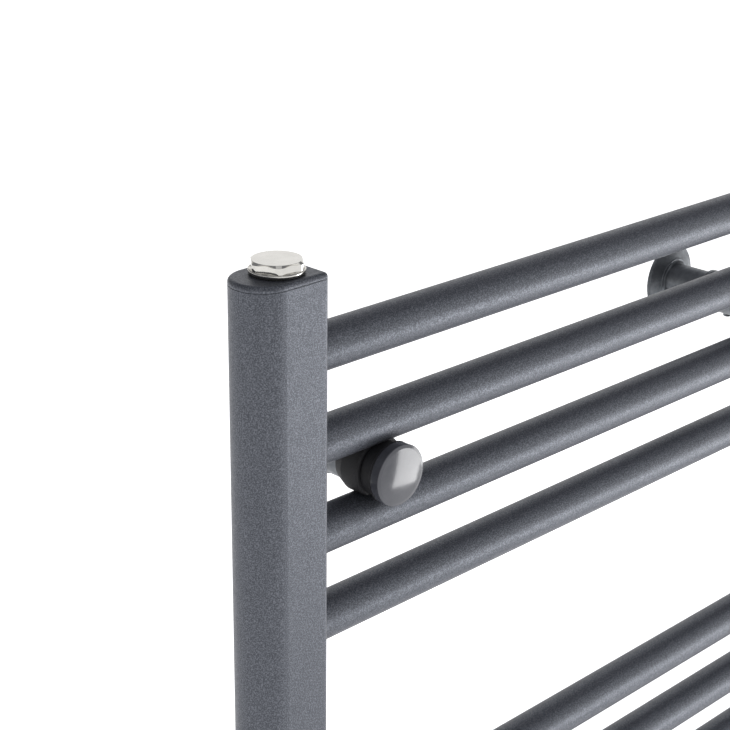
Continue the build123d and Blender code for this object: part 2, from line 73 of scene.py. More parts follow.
def addNode(tree, kind, settings=None, links=None):
    # settings go to inputs by name or number, or to the node itself; links give (input, socket)
    node = tree.nodes.new(kind)
    for key, value in (settings or {}).items():
        if isinstance(key, str) and hasattr(node, key):
            setattr(node, key, value)
        else:
            node.inputs[key].default_value = value
    for key, socket in (links or {}).items():
        tree.links.new(socket, node.inputs[key])
    return node


def newMaterial(name):
    material = bpy.data.materials.new(name)
    material.use_nodes = True
    material.node_tree.nodes.clear()
    return material, material.node_tree


def finishMaterial(tree, shaderSocket):
    addNode(tree, "ShaderNodeOutputMaterial", links={"Surface": shaderSocket})


# camera: standing left of the radiator, looking down across its upper left corner
cameraSet = {
    "place": (-0.69504, -0.59893, 0.62733),
    "turnRight": 44.86,     # degrees from straight ahead
    "tiltDown": 20.97,
    "roll": 0.67,
    "lens": 85.7,
    "filmWidth": 36,
}


def makeCamera():
    data = bpy.data.cameras.new("camera")
    data.lens = cameraSet["lens"]
    data.sensor_width = cameraSet["filmWidth"]
    data.clip_start = 0.05
    data.clip_end = 60
    camera = bpy.data.objects.new("camera", data)
    scene.collection.objects.link(camera)
    turn = Matrix.Rotation(math.radians(-cameraSet["turnRight"]), 4, "Z")
    tilt = Matrix.Rotation(math.radians(90 - cameraSet["tiltDown"]), 4, "X")
    roll = Matrix.Rotation(math.radians(cameraSet["roll"]), 4, "Z")
    camera.matrix_world = Matrix.Translation(cameraSet["place"]) @ turn @ tilt @ roll
    scene.camera = camera


makeCamera()

# studio: a lit white floor, a dim ceiling, softboxes low and high at the right, behind and left
studioSet = {
    "floorDrop": 0.16,          # floor below the lowest valve, metres
    "floorSize": 40,
    "floorColor": "#FFFFFF",
    "floorGlow": 0.95,          # the floor is lit from below like a light table
    "horizonColor": "#FFFDF8",
    "zenithColor": "#A8A9AE",
    "worldStrength": 0.75,
}
softboxes = [
    # name, place, target, width, height, watts
    ("softboxRight", (0.694, -0.833, -0.094), (-0.167, -0.092, 0.292), 0.32, 0.40, 2.7),
    ("softboxLow", (1.90, -0.95, -0.20), (-0.20, -0.09, 0.20), 0.8, 0.9, 10.0),
    ("softboxBack", (1.60, 1.55, 1.30), (-0.10, -0.05, 0.30), 2.2, 1.6, 8.5),
    ("softboxLeft", (-2.00, 0.30, 0.60), (-0.20, -0.05, 0.10), 0.9, 1.8, 0.8),
    ("softboxTop", (-0.50, -0.60, 2.30), (-0.22, -0.08, 0.40), 1.7, 1.7, 4.5),
    ("softboxFront", (1.60, -1.70, 1.30), (0.00, -0.09, 0.20), 2.0, 1.4, 7.0),
]


def makeStudio():
    for name, place, target, width, height, watts in softboxes:
        light = bpy.data.lights.new(name, "AREA")
        light.shape = "RECTANGLE"
        light.size = width
        light.size_y = height
        light.energy = watts
        box = bpy.data.objects.new(name, light)
        box.location = place
        aim = Vector(target) - Vector(place)
        box.rotation_euler = aim.to_track_quat("-Z", "Y").to_euler()
        box.visible_camera = False
        scene.collection.objects.link(box)
    world = bpy.data.worlds.new("studio")
    scene.world = world
    world.use_nodes = True
    tree = world.node_tree
    background = tree.nodes["Background"]
    background.inputs["Strength"].default_value = studioSet["worldStrength"]
    direction = addNode(tree, "ShaderNodeTexCoord")
    split = addNode(tree, "ShaderNodeSeparateXYZ", links={0: direction.outputs["Generated"]})
    height = addNode(tree, "ShaderNodeMapRange", {"interpolation_type": "SMOOTHSTEP", "From Min": 0.0,
                     "From Max": 0.5}, {"Value": split.outputs["Z"]})
    sky = addNode(tree, "ShaderNodeMix", {"data_type": "RGBA", 6: hexColor(studioSet["horizonColor"]),
                  7: hexColor(studioSet["zenithColor"])}, {"Factor": height.outputs[0]})
    tree.links.new(sky.outputs[2], background.inputs["Color"])
    floorLevel = cadBox[0][2] - studioSet["floorDrop"]
    bpy.ops.mesh.primitive_plane_add(size=studioSet["floorSize"], location=(0, 0, floorLevel))
    floor = bpy.context.object
    floor.name = "floor"
    material, tree = newMaterial("frosted white acrylic floor lit from below")
    acrylic = addNode(tree, "ShaderNodeBsdfPrincipled", {
        "Base Color": hexColor(studioSet["floorColor"]), "Roughness": 0.9,
        "Emission Color": hexColor(studioSet["floorColor"]),
        "Emission Strength": studioSet["floorGlow"]})
    finishMaterial(tree, acrylic.outputs[0])
    floor.data.materials.append(material)


makeStudio()
print("camera, lights and floor made")

# materials; every pattern is laid out in the object's own metres
powderCoat = {
    "color": "#41444B",
    "fleck": "#70737B",         # aluminium flakes in the paint
    "metallic": 0.55,
    "roughness": 0.46,
    "fleckMm": 0.62,            # real flakes are about 0.05; drawn coarser so that they show
    "peelMm": 2.6,              # orange peel of the baked film
    "peelHeightMm": 0.010,
    "grainHeightMm": 0.010,
}


def noiseAt(tree, place, sizeMm, detail=2.0):
    # a noise whose blobs are about sizeMm across
    return addNode(tree, "ShaderNodeTexNoise", {"Scale": 1 / (sizeMm * mm), "Detail": detail,
                   "Roughness": 0.6}, {"Vector": place.outputs["Object"]})


def mixColors(tree, factor, first, second):
    return addNode(tree, "ShaderNodeMix", {"data_type": "RGBA", 6: hexColor(first),
                   7: hexColor(second)}, {"Factor": factor}).outputs[2]


def spread(tree, socket, low, high, toLow=0.0, toHigh=1.0):
    # stretches the middle of a noise to the wanted range
    return addNode(tree, "ShaderNodeMapRange", {"From Min": low, "From Max": high, "To Min": toLow,
                   "To Max": toHigh}, {"Value": socket}).outputs[0]


def bumpFrom(tree, height, millimetres, under=None):
    links = {"Height": height}
    if under:
        links["Normal"] = under
    return addNode(tree, "ShaderNodeBump", {"Strength": 1.0, "Distance": millimetres * mm},
                   links).outputs[0]


def makePowderCoat():
    # metallic polyester powder coat on steel, sprayed and baked: dark satin film, light flecks
    # and a faint orange peel
    material, tree = newMaterial("metallic anthracite powder coat, sprayed and baked")
    place = addNode(tree, "ShaderNodeTexCoord")
    grain = noiseAt(tree, place, powderCoat["fleckMm"])
    peel = noiseAt(tree, place, powderCoat["peelMm"], 1.0)
    flecks = spread(tree, grain.outputs[0], 0.42, 0.72)
    tint = mixColors(tree, flecks, powderCoat["color"], powderCoat["fleck"])
    rough = spread(tree, peel.outputs[0], 0.3, 0.7, powderCoat["roughness"] - 0.04,
                   powderCoat["roughness"] + 0.04)
    film = bumpFrom(tree, peel.outputs[0], powderCoat["peelHeightMm"])
    normal = bumpFrom(tree, grain.outputs[0], powderCoat["grainHeightMm"], film)
    coat = addNode(tree, "ShaderNodeBsdfPrincipled", {"Metallic": powderCoat["metallic"], "IOR": 1.5},
                   {"Base Color": tint, "Roughness": rough, "Normal": normal})
    finishMaterial(tree, coat.outputs[0])
    return material


capEnamel = {
    "color": "#404147",
    "worn": "#494A50",
    "roughness": 0.07,
    "peelMm": 3.5,
    "peelHeightMm": 0.0025,
}


def makeCapEnamel():
    # gloss anthracite lacquer on die-cast zinc, sprayed: mirror gloss with a very faint peel
    material, tree = newMaterial("gloss anthracite lacquer on die-cast zinc")
    place = addNode(tree, "ShaderNodeTexCoord")
    peel = noiseAt(tree, place, capEnamel["peelMm"], 1.0)
    cloud = noiseAt(tree, place, 9.0, 3.0)
    tint = mixColors(tree, spread(tree, cloud.outputs[0], 0.35, 0.7), capEnamel["color"],
                     capEnamel["worn"])
    rough = spread(tree, cloud.outputs[0], 0.3, 0.7, capEnamel["roughness"],
                   capEnamel["roughness"] + 0.05)
    normal = bumpFrom(tree, peel.outputs[0], capEnamel["peelHeightMm"])
    lacquer = addNode(tree, "ShaderNodeBsdfPrincipled", {"IOR": 1.5},
                      {"Base Color": tint, "Roughness": rough, "Normal": normal})
    finishMaterial(tree, lacquer.outputs[0])
    return material


def makeMetal(name, color, second, roughness, roughSpread, cloudMm, grainMm, grainHeightMm):
    # a bare or plated metal: its colour drifts over cloudMm, its finish has a grain of grainMm
    material, tree = newMaterial(name)
    place = addNode(tree, "ShaderNodeTexCoord")
    cloud = noiseAt(tree, place, cloudMm, 3.0)
    grain = noiseAt(tree, place, grainMm, 2.0)
    tint = mixColors(tree, spread(tree, cloud.outputs[0], 0.3, 0.7), color, second)
    rough = spread(tree, cloud.outputs[0], 0.3, 0.7, roughness, roughness + roughSpread)
    normal = bumpFrom(tree, grain.outputs[0], grainHeightMm)
    shader = addNode(tree, "ShaderNodeBsdfPrincipled", {"Metallic": 1.0},
                     {"Base Color": tint, "Roughness": rough, "Normal": normal})
    finishMaterial(tree, shader.outputs[0])
    return material


def makePlastic(name, color, second, roughness, roughSpread, cloudMm, grainMm, grainHeightMm, ior):
    # a moulded plastic or rubber: colour drifts a little, the mould's texture is grainMm across
    material, tree = newMaterial(name)
    place = addNode(tree, "ShaderNodeTexCoord")
    cloud = noiseAt(tree, place, cloudMm, 2.0)
    grain = noiseAt(tree, place, grainMm, 3.0)
    tint = mixColors(tree, spread(tree, cloud.outputs[0], 0.3, 0.7), color, second)
    rough = spread(tree, grain.outputs[0], 0.3, 0.7, roughness, roughness + roughSpread)
    normal = bumpFrom(tree, grain.outputs[0], grainHeightMm)
    shader = addNode(tree, "ShaderNodeBsdfPrincipled", {"IOR": ior},
                     {"Base Color": tint, "Roughness": rough, "Normal": normal})
    finishMaterial(tree, shader.outputs[0])
    return material


finishes = {
    "radiator_paint": makePowderCoat(),
    "cap_enamel": makeCapEnamel(),
    # polished and plated brass: near-mirror, slightly warm, with faint wipe marks
    "chrome": makeMetal("polished chrome plate on brass", "#C4C2BD", "#BAB8B3", 0.045, 0.04, 6.0, 1.4,
                        0.0008),
    # electroplated and clear-passivated steel: soft grey with a cloudy sheen
    "zinc_steel": makeMetal("bright zinc plate on steel", "#6F7276", "#5C5F63", 0.38, 0.14, 5.0, 0.5,
                            0.004),
    # turned brass: warm yellow with a satin tool finish
    "brass": makeMetal("turned brass", "#C9A65C", "#B08D49", 0.22, 0.12, 4.0, 0.35, 0.004),
    # moulded EPDM: black and dull
    "seal_rubber": makePlastic("moulded EPDM rubber", "#141415", "#1C1C1D", 0.62, 0.15, 3.0, 0.4, 0.01,
                               1.5),
    # glass-filled nylon, moulded: near black and dull, fibres faintly visible at the surface
    "jaw_nylon": makePlastic("black moulded glass-filled nylon", "#101014", "#18181D", 0.66, 0.12, 6.0,
                             0.5, 0.008, 1.5),
    # moulded ABS from a spark-eroded tool: satin with a fine leather texture
    "handwheel_plastic": makePlastic("moulded ABS, fine spark-eroded texture", "#2B2C30", "#323338",
                                     0.36, 0.14, 8.0, 0.6, 0.014, 1.53),
}
slotOf = {}
for row in frame["record"]["subparts"]:
    node = frame["nodes"][row["node"]]
    slotOf[row["node"]] = row["material_slot"]
    node.data.materials.clear()
    node.data.materials.append(finishes[row["material_slot"]])
print("materials given to all nodes")

# mesh tools: every turned, hexagonal or ribbed piece is a stack of rings round an axis
up = Vector((0, 0, 1))
toWall, toRoom = Vector((0, 1, 0)), Vector((0, -1, 0))
right = Vector((1, 0, 0))
arcSteps = 5
bodyOf = {}
for bodyName, bodyRow in frame["record"]["behaviour"]["bodies"].items():
    for nodeName in bodyRow:
        bodyOf[nodeName] = bodyName


def ringMesh(rows, wrap=False):
    # joins each ring of points to the next; wrap joins the last ring to the first
    mesh = bmesh.new()
    rings = [[mesh.verts.new(point) for point in row] for row in rows]
    pairs = list(zip(rings, rings[1:] + rings[:1])) if wrap else list(zip(rings, rings[1:]))
    for low, high in pairs:
        for i in range(len(low)):
            j = (i + 1) % len(low)
            mesh.faces.new((low[i], low[j], high[j], high[i]))
    bmesh.ops.remove_doubles(mesh, verts=mesh.verts, dist=1e-7)
    bmesh.ops.dissolve_degenerate(mesh, edges=mesh.edges, dist=1e-7)
    bmesh.ops.recalc_face_normals(mesh, faces=mesh.faces)
    return mesh


def finishPiece(name, mesh, node, replaced=None):
    # makes the object, shades it smooth and gives it the node's body and the finish of its slot;
    # it stands for that node, or for the listed ones
    data = bpy.data.meshes.new(name)
    mesh.to_mesh(data)
    mesh.free()
    data.shade_smooth()
    piece = bpy.data.objects.new(name, data)
    scene.collection.objects.link(piece)
    data.materials.append(finishes[slotOf[node]])
    piece.modifiers.new("flat faces stay flat", "WEIGHTED_NORMAL").keep_sharp = True
    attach(piece, bodyOf[node])
    for hidden in [node] if replaced is None else replaced:
        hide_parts(hidden)
    return piece


def roundedOutline(points, wrap=False):
    # points are (distance along the axis, radius, rounding) in mm; corners become arcs
    outline = []
    count = len(points)
    for index, (distance, radius, rounding) in enumerate(points):
        corner = Vector((distance, radius))
        if rounding == 0 or (not wrap and index in (0, count - 1)):
            outline.append(corner)
            continue
        before = Vector(points[index - 1][:2]) - corner
        after = Vector(points[(index + 1) % count][:2]) - corner
        reach = rounding / math.tan(before.angle(after) / 2)
        reach = min(reach, 0.48 * before.length, 0.48 * after.length)
        start = corner + before.normalized() * reach
        end = corner + after.normalized() * reach
        for step in range(arcSteps + 1):
            t = step / arcSteps
            outline.append(start * (1 - t) ** 2 + corner * 2 * t * (1 - t) + end * t * t)
    return outline


def turnedRows(start, along, outline, shape=None, sides=96):
    # start in metres; shape(angle, radius, distance) in mm makes it other than round
    across = right if abs(along.dot(right)) < 0.5 else toWall
    other = along.cross(across)
    rows = []
    for distance, radius in outline:
        row = []
        for i in range(sides):
            angle = 2 * math.pi * i / sides
            reach = shape(angle, radius, distance) if shape else radius
            spoke = across * math.cos(angle) + other * math.sin(angle)
            row.append(start + (along * distance + spoke * reach) * mm)
        rows.append(row)
    return rows


def turnedMesh(start, along, points, shape=None, sides=96, wrap=False):
    outline = roundedOutline(points, wrap)
    return ringMesh(turnedRows(start, along, outline, shape, sides), wrap)


def softMin(first, second, blend):
    # the smaller of two radii, with the edge between them rounded
    overlap = max(blend - abs(first - second), 0) / blend
    return min(first, second) - overlap * overlap * blend / 4


def hexShape(flats, turn=0.0, edge=0.25):
    # turn is the direction of one corner in degrees; edge rounds the corners and the crown
    def shape(angle, radius, distance):
        sector = (math.degrees(angle) - turn) % 60 - 30
        side = flats / 2 / math.cos(math.radians(sector))
        corner = flats / 2 / math.cos(math.radians(30)) - edge / 2
        return softMin(softMin(side, corner, 2 * edge), radius, edge)
    return shape


def joinMeshes(meshes):
    # puts several bmesh parts in one
    whole = meshes[0]
    for part in meshes[1:]:
        data = bpy.data.meshes.new("joined")
        part.to_mesh(data)
        part.free()
        whole.from_mesh(data)
        bpy.data.meshes.remove(data)
    return whole


def nodeBox(node):
    # a node's low and high corners and its middle, as vectors in metres
    low, high = (Vector(corner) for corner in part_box(node))
    return low, high, (low + high) / 2


print("mesh tools ready")

# clamps: a domed cap with a bevelled rim on each
clampCap = {
    "domeRadius": 13.4,
    "domeHeight": 0.72,         # how far the face's edge falls behind its middle
    "rimRadius": 14.95,
    "rimDrop": 1.1,
    "sideStart": 1.4,
    "skirtWall": 1.5,
    "domeRings": 12,
}


def makeClampCap(node):
    low, high, middle = nodeBox(node)
    radius = (high.x - low.x) / 2 / mm
    height = (high.y - low.y) / mm
    part = clampCap
    dome = [(part["domeHeight"] * (i / part["domeRings"]) ** 2,
             part["domeRadius"] * i / part["domeRings"], 0) for i in range(part["domeRings"])]
    outline = dome + [
        (part["domeHeight"], part["domeRadius"], 0.35), (part["rimDrop"], part["rimRadius"], 0.5),
        (part["sideStart"], radius, 0.5), (height, radius, 0.15),
        (height, radius - part["skirtWall"], 0.15),
        (part["rimDrop"] + part["skirtWall"], radius - part["skirtWall"], 0.5),
        (part["rimDrop"] + part["skirtWall"], 0, 0)]
    start = Vector((middle.x, low.y, middle.z))
    finishPiece(node + "_face", turnedMesh(start, toWall, outline, sides=128), node)


for node in slotOf:
    if node.startswith("clamp_cap_"):
        makeClampCap(node)
print("clamp caps made")

# blanking plug and air vent: plated hexagons with a round flange
fittingSet = {
    "flats": 22.0,
    "turn": 53.0,               # direction of one corner from +X
    "crown": 11.0,              # radius of the flat left on the hexagon
    "flange": 1.4,
    "flangeRadius": 12.5,
    "shankRadius": 10.45,
    "threadPitch": 1.814,       # G1/2
    "threadDepth": 0.5,
}
ventSet = {"recessRadius": 4.4, "recess": 2.5, "bore": 3.06}


def makeFitting(node, name, hollow):
    # distances run up from the shank's end
    low, high, middle = nodeBox(node)
    part = fittingSet
    height = (high.z - low.z) / mm
    flangeRadius = part["flangeRadius"]
    seatHeight = (nodeBox("port_seals")[1].z - low.z) / mm
    flangeTop = seatHeight + part["flange"]
    shank = part["shankRadius"]
    thread = [(0, shank - 1.0, 0)]
    turns = int(seatHeight / part["threadPitch"]) - 1
    for turn in range(turns):
        base = 0.8 + turn * part["threadPitch"]
        thread.append((base, shank, 0.15))
        thread.append((base + part["threadPitch"] / 2, shank - part["threadDepth"], 0.15))
    thread.append((0.8 + turns * part["threadPitch"], shank, 0.1))
    neck = [(seatHeight, shank, 0.1), (seatHeight, flangeRadius - 0.2, 0.25),
            (seatHeight + 0.5, flangeRadius, 0.3), (flangeTop - 0.35, flangeRadius, 0.35),
            (flangeTop, flangeRadius - 0.6, 0.2)]
    corner = part["flats"] / 2 / math.cos(math.radians(30))
    waist = [(flangeTop, part["flats"] / 2 + 1.2, 0.15)]
    slope = (corner - part["crown"]) * math.tan(math.radians(30))
    head = [(height - slope - 0.1, corner, 0.3), (height, part["crown"], 0.45)]
    if hollow:
        top = [(height, ventSet["recessRadius"], 0.35),
               (height - ventSet["recess"], ventSet["recessRadius"], 0.2),
               (height - ventSet["recess"], ventSet["bore"], 0), (0, ventSet["bore"], 0)]
        points = thread + neck + waist + head + top
    else:
        points = [(0, 0, 0)] + thread + neck + waist + head + [(height, 0, 0)]
    hexagon = hexShape(part["flats"], part["turn"], 0.28)

    def shape(angle, radius, distance):
        return hexagon(angle, radius, distance) if distance > flangeTop + 0.01 else radius

    start = Vector((middle.x, middle.y, low.z))
    mesh = turnedMesh(start, up, points, shape, sides=144, wrap=hollow)
    finishPiece(name, mesh, node)


makeFitting("blanking_plug", "blanking_plug_turned", False)
makeFitting("vent_body", "vent_body_turned", True)

sealSet = {"bore": 10.5, "bulge": 0.25}


def makeSeals():
    # two flat rubber rings, one piece each side, slightly squeezed
    low, high, middle = nodeBox("port_seals")
    radius = (high.y - low.y) / 2 / mm
    height = (high.z - low.z) / mm
    rings = []
    for x in (low.x + radius * mm, high.x - radius * mm):
        points = [(0, sealSet["bore"], 0.1), (0, radius - sealSet["bulge"], 0.3),
                  (height / 2, radius, 0.5), (height, radius - sealSet["bulge"], 0.3),
                  (height, sealSet["bore"], 0.1)]
        rings.append(turnedMesh(Vector((x, middle.y, low.z)), up, points, wrap=True))
    finishPiece("port_seal_rings", joinMeshes(rings), "port_seals")


makeSeals()
print("top fittings made")

# end plates: welded on each end of a collector, rounded outside, with a fine seam below
plateSet = {
    "thickness": 3.0,
    "rounding": 2.0,
    "corner": 2.6,              # collector's inner corners, seen from above
    "seam": 0.35,               # chamfer at the weld line
    "portRadius": 10.5,
    "portChamfer": 0.4,
    "bossRadius": 12.9,
    "noseSteps": 40,
    "cornerSteps": 8,
}


def collectorOutline(low, high, hand, inset):
    # the D section seen from above, as points (x, y) in metres, in the same order for any inset
    part = plateSet
    half = (high.y - low.y) / 2 - inset
    centre = Vector(((low.x + high.x) / 2, (low.y + high.y) / 2))
    inner = (high.x if hand < 0 else low.x) + hand * inset
    nose = (low.x + half + inset) if hand < 0 else (high.x - half - inset)
    corner = max(part["corner"] * mm - inset, 0.2 * mm)
    points = []
    for end in (-1, 1):
        pivot = Vector((inner + hand * corner, centre.y + end * (half - corner)))
        for i in range(part["cornerSteps"] + 1):
            angle = math.pi / 2 * i / part["cornerSteps"]
            spin = angle if end > 0 else math.pi / 2 - angle
            points.append(pivot + Vector((-hand * math.cos(spin), end * math.sin(spin))) * corner)
    for i in range(part["noseSteps"] + 1):
        angle = math.pi * i / part["noseSteps"]
        points.append(Vector((nose + hand * math.sin(angle) * half, centre.y + math.cos(angle) * half)))
    return points


def makeEndPlate(node):
    low, high, middle = nodeBox(node)
    part = plateSet
    hand = -1 if middle.x < 0 else 1
    end = 1 if middle.z > 0 else -1
    outer = high.z if end > 0 else low.z            # the free face
    joint = outer - end * part["thickness"] * mm
    bossEnd = low.z if end > 0 else high.z
    fitting = nodeBox("blanking_plug" if hand < 0 else "vent_body")[2]
    port = Vector((fitting.x, fitting.y))

    def outlineRow(inset, z):
        return [Vector((x, y, z)) for x, y in collectorOutline(low, high, hand, inset)]

    def circleRow(radius, z):
        row = []
        for x, y in collectorOutline(low, high, hand, 0):
            spoke = (Vector((x, y)) - port).normalized() * radius * mm
            row.append(Vector((port.x + spoke.x, port.y + spoke.y, z)))
        return row

    rounding = part["rounding"] * mm
    seam = part["seam"] * mm
    rows = [circleRow(part["bossRadius"], joint), outlineRow(2 * seam, joint), outlineRow(seam, joint)]
    rows.append(outlineRow(0, joint + end * seam))
    for i in range(9):
        angle = math.pi / 2 * i / 8
        inset = rounding * (1 - math.cos(angle))
        rows.append(outlineRow(inset, outer - end * rounding * (1 - math.sin(angle))))
    rows.append(outlineRow(rounding + seam, outer))
    rows.append(circleRow(part["portRadius"] + part["portChamfer"], outer))
    rows.append(circleRow(part["portRadius"], outer - end * part["portChamfer"] * mm))
    rows.append(circleRow(part["portRadius"], bossEnd))
    rows.append(circleRow(part["bossRadius"], bossEnd))
    finishPiece(node + "_plate", ringMesh(rows, wrap=True), node)


for node in slotOf:
    if node.startswith("end_plate_"):
        makeEndPlate(node)
print("end plates made")

# welds: a small painted fillet where each rung meets a collector
weldSet = {"size": 0.9, "steps": 5, "sides": 72}


def makeWelds(hand, name):
    # one ring per rung, all the rings of a side in one piece
    part = weldSet
    face = nodeBox("collector_left")[1].x if hand < 0 else nodeBox("collector_right")[0].x
    rings = []
    for node in slotOf:
        if not node.startswith("rung_"):
            continue
        low, high, middle = nodeBox(node)
        radius = (high.z - low.z) / 2 / mm
        points = [(0, radius - 0.2, 0)]
        for i in range(part["steps"] + 1):
            angle = math.pi / 2 * i / part["steps"]
            points.append((part["size"] * (1 - math.cos(angle)),
                           radius + part["size"] * (1 - math.sin(angle)), 0))
        points.append((part["size"], radius - 0.2, 0))
        start = Vector((face, middle.y, middle.z))
        rings.append(turnedMesh(start, right * -hand, points, sides=part["sides"], wrap=True))
    finishPiece(name, joinMeshes(rings), "rung_01", [])


makeWelds(-1, "rung_welds_left")
makeWelds(1, "rung_welds_right")
print("welds made")

# telescopic sleeves on the rear jaws, their grub screws, and the roses on the wall
sleeveSet = {
    "bore": 10.5,
    "chamfer": 0.5,
    "grooves": 3,               # turned grip grooves near the wall end
    "groovePitch": 2.2,
    "grooveDepth": 0.35,
    "grubRadius": 2.5,
    "grubKey": 1.25,
    "grubKeyDepth": 1.6,
    "grubLength": 3.2,
}
roseSet = {
    "holeRadius": 3.25,
    "thickness": 5.0,
    "tubeRadius": 10.15,
    "tubeBore": 8.15,
    "lipRadius": 13.0,          # raised collar round the tube
    "edge": 1.6,                # height of the rose's straight edge
    "chamfer": 0.4,
}


def bracketMiddles():
    # the four clamp axes, as middles of the caps
    return [nodeBox(node)[2] for node in slotOf if node.startswith("clamp_cap_")]


def makeSleeves():
    low, high, middle = nodeBox("clamp_sleeves")
    part = sleeveSet
    length = (high.y - low.y) / mm
    radius = (high.z - nodeBox("clamp_cap_top_left")[2].z) / mm
    edge = part["chamfer"]
    points = [(0, part["bore"], 0), (0, radius - edge, 0.2), (edge, radius, 0.3)]
    firstGroove = length - (part["grooves"] + 0.6) * part["groovePitch"]
    for groove in range(part["grooves"]):
        place = firstGroove + groove * part["groovePitch"]
        points.append((place, radius, 0.15))
        points.append((place + part["grooveDepth"], radius - part["grooveDepth"], 0.25))
        points.append((place + 2 * part["grooveDepth"], radius, 0.15))
    points += [(length - edge, radius, 0.3), (length, radius - edge, 0.2), (length, part["bore"], 0.2)]
    tubes = [turnedMesh(Vector((spot.x, low.y, spot.z)), toWall, points, wrap=True)
             for spot in bracketMiddles()]
    finishPiece("clamp_sleeve_tubes", joinMeshes(tubes), "clamp_sleeves")


def makeGrubScrews():
    low, high, middle = nodeBox("grub_screws")
    part = sleeveSet
    screws = []
    for spot in bracketMiddles():
        head = low.z if spot.z < 0 else low.z + 2 * spot.z      # both rows point down
        length = part["grubLength"]
        start = Vector((spot.x, middle.y, head))
        points = [(0, part["grubKey"], 0.1), (0, part["grubRadius"] - 0.4, 0.2),
                  (0.4, part["grubRadius"] - 0.02, 0.1), (length, part["grubRadius"] - 0.02, 0.1),
                  (length, 0, 0), (part["grubKeyDepth"], 0, 0),
                  (part["grubKeyDepth"], part["grubKey"], 0.1)]
        socket = hexShape(2 * part["grubKey"], 0, 0.08)

        def shape(angle, radius, distance):
            return socket(angle, 9, distance) if radius == part["grubKey"] else radius

        screws.append(turnedMesh(start, up, points, shape, sides=48, wrap=True))
    finishPiece("grub_screw_set", joinMeshes(screws), "grub_screws")


def makeWallMount(node):
    low, high, middle = nodeBox(node)
    part = roseSet
    depth = (high.y - low.y) / mm
    radius = (high.x - low.x) / 2 / mm
    front = depth - part["thickness"]       # front face of the rose, from the tube's end
    edge = part["chamfer"]
    points = [(0, part["tubeBore"] + edge, 0.1), (0, part["tubeRadius"] - edge, 0.2),
              (edge, part["tubeRadius"], 0.2), (front, part["tubeRadius"], 0.0),
              (front, part["lipRadius"], 0.5), (front + 0.5, part["lipRadius"] + 0.5, 0.3),
              (depth - part["edge"], radius - 0.5, 1.6), (depth - 0.3, radius, 0.5),
              (depth, radius, 0.1), (depth, part["holeRadius"], 0.1),
              (front, part["holeRadius"], 0.3), (front, part["tubeBore"], 0.2),
              (edge, part["tubeBore"], 0.1)]
    start = Vector((middle.x, low.y, middle.z))
    finishPiece(node + "_rose", turnedMesh(start, toWall, points, sides=128, wrap=True), node)


makeSleeves()
makeGrubScrews()
for node in slotOf:
    if node.startswith("wall_mount_"):
        makeWallMount(node)
print("wall mounts made")

# valves: the same body both sides, a tailpiece and union nut above, an inlet nut behind;
# distances on the spindle's axis run from the body's centre
valveSet = {
    "neckTop": 25.1,            # spindle's axis up to the tailpiece
    "collarRadius": 12.4,
    "collar": 3.0,
    "tubeRadius": 8.0,
    "flange": 3.0,
    "flangeRadius": 12.5,
    "shank": 12.0,
    "shankRadius": 10.45,
    "bore": 6.0,
    "unionFlats": 30.0,
    "unionReach": 6.0,          # each side of the joint
    "unionThread": 13.15,
    "unionLip": 2.5,
    "unionMouth": 8.4,
    "inletFlats": 24.0,
    "inletStart": 15.0,
    "inletLength": 16.0,
    "inletThread": 9.95,
    "inletThreadEnd": 10.0,
    "inletMouth": 7.55,         # for a 15 mm pipe
    "inletLip": 3.0,
    "hexEdge": 0.45,
    "crownInset": 0.3,          # how far a hexagon's crown lies inside its flats
}
bonnetSet = {
    "flats": 24.0,
    "start": 6.0,
    "shankRadius": 9.45,
    "hexStart": 10.0,           # from the bonnet's inner end
    "hexEnd": 15.0,
    "end": 21.0,
    "neckRadius": 7.5,
    "guide": 5.0,
    "guideEnd": 8.9,
    "bore": 3.06,
}


def hexLathe(start, along, flats, outer, inner):
    # a turned piece whose outline beyond the inner points is hexagonal where it is wide enough
    edge = valveSet["hexEdge"]
    corner = flats / 2 / math.cos(math.radians(30))
    crown = flats / 2 - valveSet["crownInset"]
    slope = (corner - crown) * math.tan(math.radians(30))
    near, far = outer
    points = [(near, crown, edge), (near + slope, corner, edge), (far - slope, corner, edge),
              (far, crown, edge)] + inner
    hexagon = hexShape(flats, 0, edge)

    def shape(angle, radius, distance):
        wide = radius >= crown - edge and near - 0.01 <= distance <= far + 0.01
        return hexagon(angle, radius, distance) if wide else radius

    return turnedMesh(start, along, points, shape, sides=144, wrap=True)


def makeTailpiece(side, centre):
    part = valveSet
    low, high, middle = nodeBox(side + "_tailpiece")
    height = (high.z - low.z) / mm
    flangeTop = height - part["shank"]
    tube, shank, flange = part["tubeRadius"], part["shankRadius"], part["flangeRadius"]
    points = [(0, part["bore"], 0.15), (0, part["collarRadius"] - 0.6, 0.3),
              (0.6, part["collarRadius"], 0.3), (part["collar"], part["collarRadius"], 0.5),
              (part["collar"], tube, 0.8), (flangeTop - part["flange"], tube, 0.8),
              (flangeTop - part["flange"], flange, 0.5), (flangeTop, flange, 0.3),
              (flangeTop, shank - 0.5, 0.1), (flangeTop + 1.2, shank - 0.5, 0.1),
              (flangeTop + 1.6, shank, 0.1), (height - 0.8, shank, 0.3),
              (height, shank - 0.8, 0.2), (height, part["bore"], 0.2)]
    finishPiece(side + "_tailpiece_turned",
                turnedMesh(Vector((centre.x, centre.y, low.z)), up, points, wrap=True),
                side + "_tailpiece")


